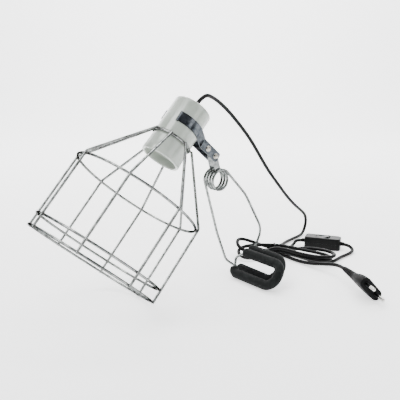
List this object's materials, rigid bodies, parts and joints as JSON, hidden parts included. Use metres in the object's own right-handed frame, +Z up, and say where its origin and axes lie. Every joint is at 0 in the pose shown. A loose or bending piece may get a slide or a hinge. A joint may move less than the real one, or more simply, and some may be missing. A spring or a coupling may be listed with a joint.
{
  "type": "heat lamp fixture",
  "caption": "Ceramic screw lamp holder with a flared wire guard, strapped and hinged to a spring wire clamp with foam covered jaws, with a mains lead, in-line switch and moulded plug.",
  "frame": {"origin": "on the floor, under the centre of the box round the lamp and clamp, without the lead", "axes": "+Z up from the floor the guard and jaws rest on; the XZ direction is the lamp's and the clamp's plane of symmetry, with -X towards the guard's mouth and +X towards the lead; +Y is along the clamp's pivot screw and the coil's axis"},
  "size_m": [0.5031, 0.2827, 0.2408],
  "materials": {
    "plated_wire": "bright zinc plate, lightly drawn along the wire",
    "porcelain": "off-white glaze over ceramic, faint green-grey",
    "carrier_ceramic": "unglazed ceramic",
    "brass_plate": "rolled, slightly dull",
    "strap_steel": "bright plate that reflects dark",
    "plated_steel": "nickel plate",
    "spring_steel": "bright plated spring wire",
    "black_foam": "matt closed-cell foam",
    "cord_jacket": "satin flexible jacket",
    "moulded_rubber": "satin moulding",
    "black_plastic": "fine moulded texture",
    "rocker_plastic": "smooth",
    "pin_metal": "nickel plate",
    "lead_insulation": "single core insulation"
  },
  "bodies": {
    "lamp": {"cage_lower_ring": "plated_wire", "cage_mouth_ring": "plated_wire", "cage_shoulder_ring": "plated_wire", "cage_small_ring": "plated_wire", "cage_wire_1": "plated_wire", "cage_wire_2": "plated_wire", "cage_wire_3": "plated_wire", "cage_wire_4": "plated_wire", "cage_wire_5": "plated_wire", "cage_wire_6": "plated_wire", "cage_wire_7": "plated_wire", "cage_wire_8": "plated_wire", "centre_contact": "brass_plate", "contact_carrier": "carrier_ceramic", "cord_bush": "black_plastic", "cord_drop": "cord_jacket", "cord_plug_lead": "cord_jacket", "cord_switch_in": "cord_jacket", "cord_switch_out": "cord_jacket", "hank": "cord_jacket", "inner_leads": "lead_insulation", "pinch_nut": "plated_steel", "pinch_screw": "plated_steel", "pivot_nut": "plated_steel", "pivot_screw": "plated_steel", "plug_body": "moulded_rubber", "plug_boot": "moulded_rubber", "plug_pin_sleeves": "black_plastic", "plug_pins": "pin_metal", "porcelain_body": "porcelain", "porcelain_skirt": "porcelain", "rocker_pin": "plated_steel", "screw_shell": "brass_plate", "strap_front": "strap_steel", "strap_rear": "strap_steel", "switch_base": "black_plastic", "switch_contacts": "brass_plate", "switch_cord_sleeves": "moulded_rubber", "switch_cover": "black_plastic", "switch_screws": "plated_steel", "terminal_blocks": "brass_plate", "terminal_screws": "plated_steel"},
    "clamp": {"clamp_link": "strap_steel", "spring_coil": "spring_steel"},
    "rear_jaw": {"rear_leg": "spring_steel", "rear_foam": "black_foam"},
    "front_jaw": {"front_leg": "spring_steel", "front_foam": "black_foam"},
    "rocker": {"switch_rocker": "rocker_plastic"}
  },
  "joints": [
    {"name": "clamp_tilt", "type": "hinge", "parent": "lamp", "child": "clamp", "pos_m": [0.0792, 0.00525, 0.16279], "axis": [0, 1, 0], "range_deg": [-75, 35]},
    {"name": "rear_jaw_open", "type": "hinge", "parent": "clamp", "child": "rear_jaw", "pos_m": [0.08769, 0.00525, 0.13169], "axis": [0, -1, 0], "range_deg": [0, 10], "stiffness_Nm_per_rad": 1.4, "springref_deg": -28.65},
    {"name": "front_jaw_open", "type": "hinge", "parent": "clamp", "child": "front_jaw", "pos_m": [0.08769, 0.00525, 0.13169], "axis": [0, 1, 0], "range_deg": [0, 10], "stiffness_Nm_per_rad": 1.4, "springref_deg": -28.65},
    {"name": "rocker_press", "type": "hinge", "parent": "lamp", "child": "rocker", "pos_m": [0.29885, 0.00055, 0.014], "axis": [0.8517, 0.524, 0], "range_deg": [0, 14]}
  ],
  "couplings": [
    {"joint": "front_jaw_open", "follows": "rear_jaw_open", "ratio": 1}
  ]
}
